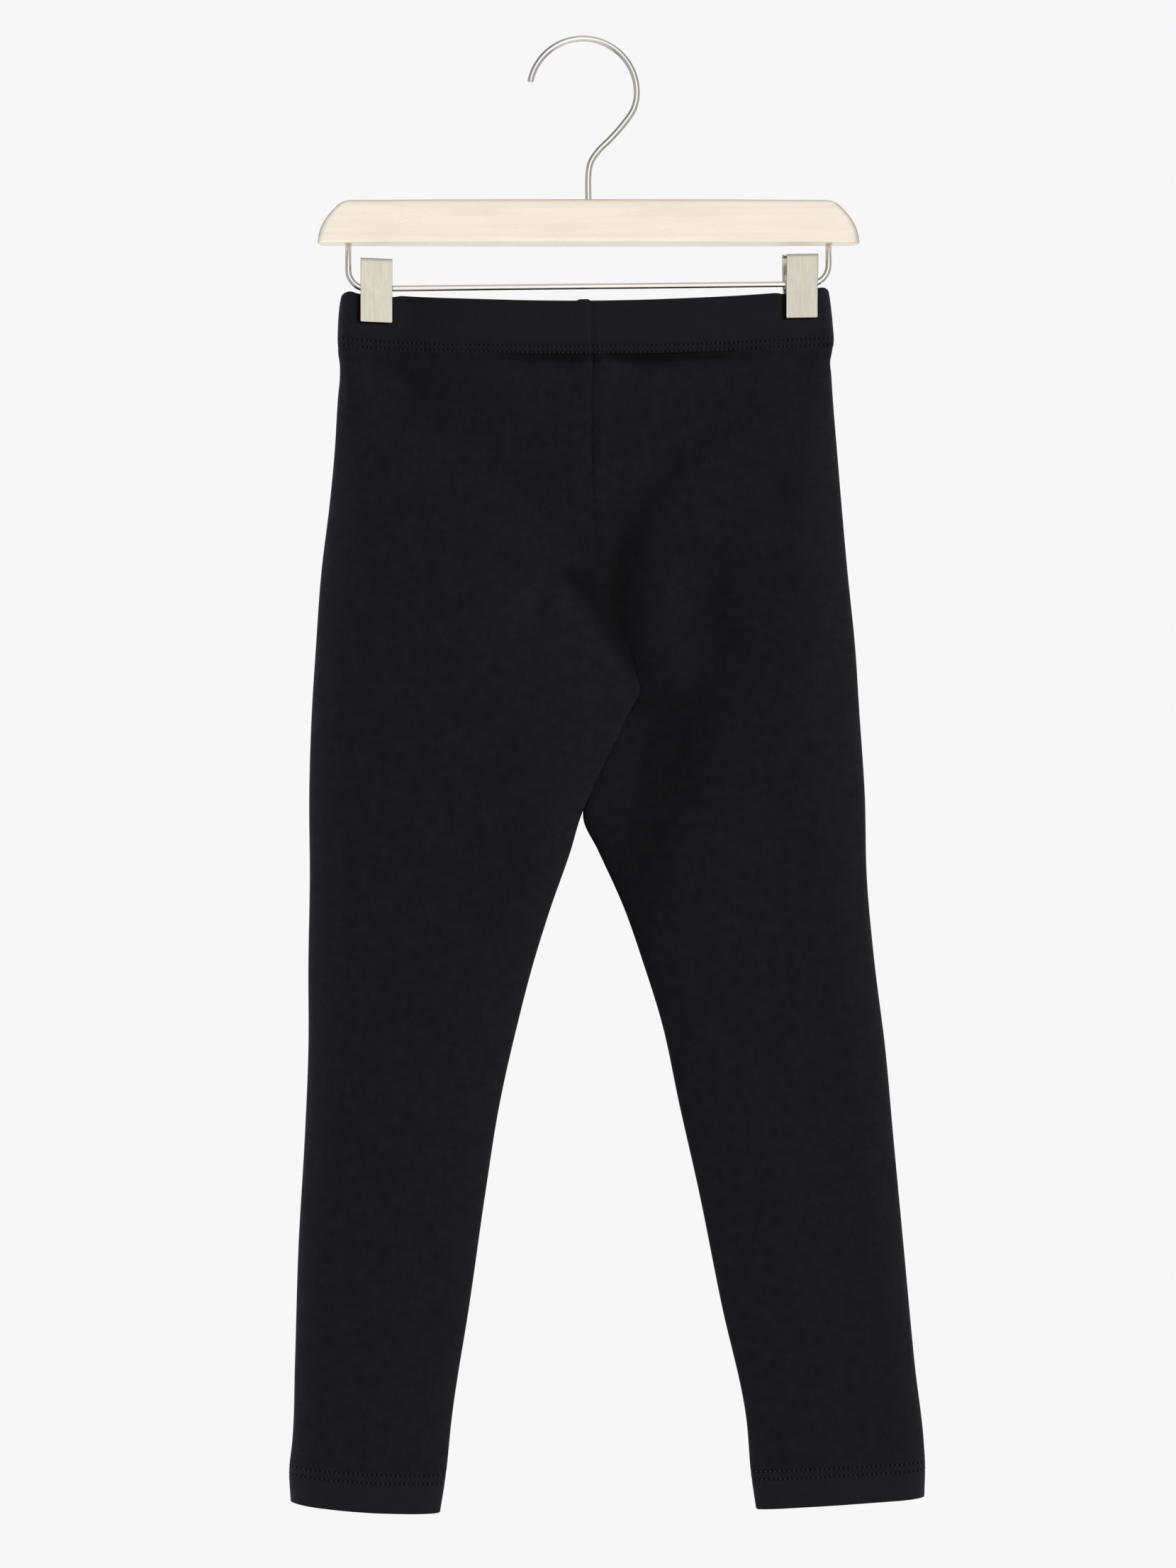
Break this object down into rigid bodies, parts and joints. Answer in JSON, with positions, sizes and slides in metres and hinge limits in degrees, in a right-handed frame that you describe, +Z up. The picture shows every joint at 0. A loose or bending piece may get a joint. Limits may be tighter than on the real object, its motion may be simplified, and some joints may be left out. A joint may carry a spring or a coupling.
{
  "type": "leggings on a clip hanger",
  "caption": "Plain child's jersey leggings with an elastic waistband, held flat by the clips of a wooden trouser hanger with a wire hook.",
  "frame": {"origin": "underside of the hook's crown, where the rail or peg that holds the hanger touches it", "axes": "+Z up along the hanging height, +X to the viewer's right along the hanger's bar, -Y out of the leggings' front towards the viewer"},
  "size_m": [0.3522, 0.0186, 0.8183],
  "materials": {
    "jersey": "black cotton and elastane single jersey, matt",
    "bar_wood": "pale birch, clear satin lacquer",
    "wire": "satin nickel plated steel wire",
    "clip_sheet": "satin nickel plated steel sheet"
  },
  "bodies": {
    "root": {"waistband": "jersey", "leg_left": "jersey", "leg_right": "jersey", "hanger_bar": "bar_wood", "hanger_hook": "wire", "clip_rod": "wire", "clip_left_front": "clip_sheet", "clip_left_back": "clip_sheet", "clip_left_spring": "wire", "clip_right_front": "clip_sheet", "clip_right_back": "clip_sheet", "clip_right_spring": "wire"}
  },
  "joints": []
}
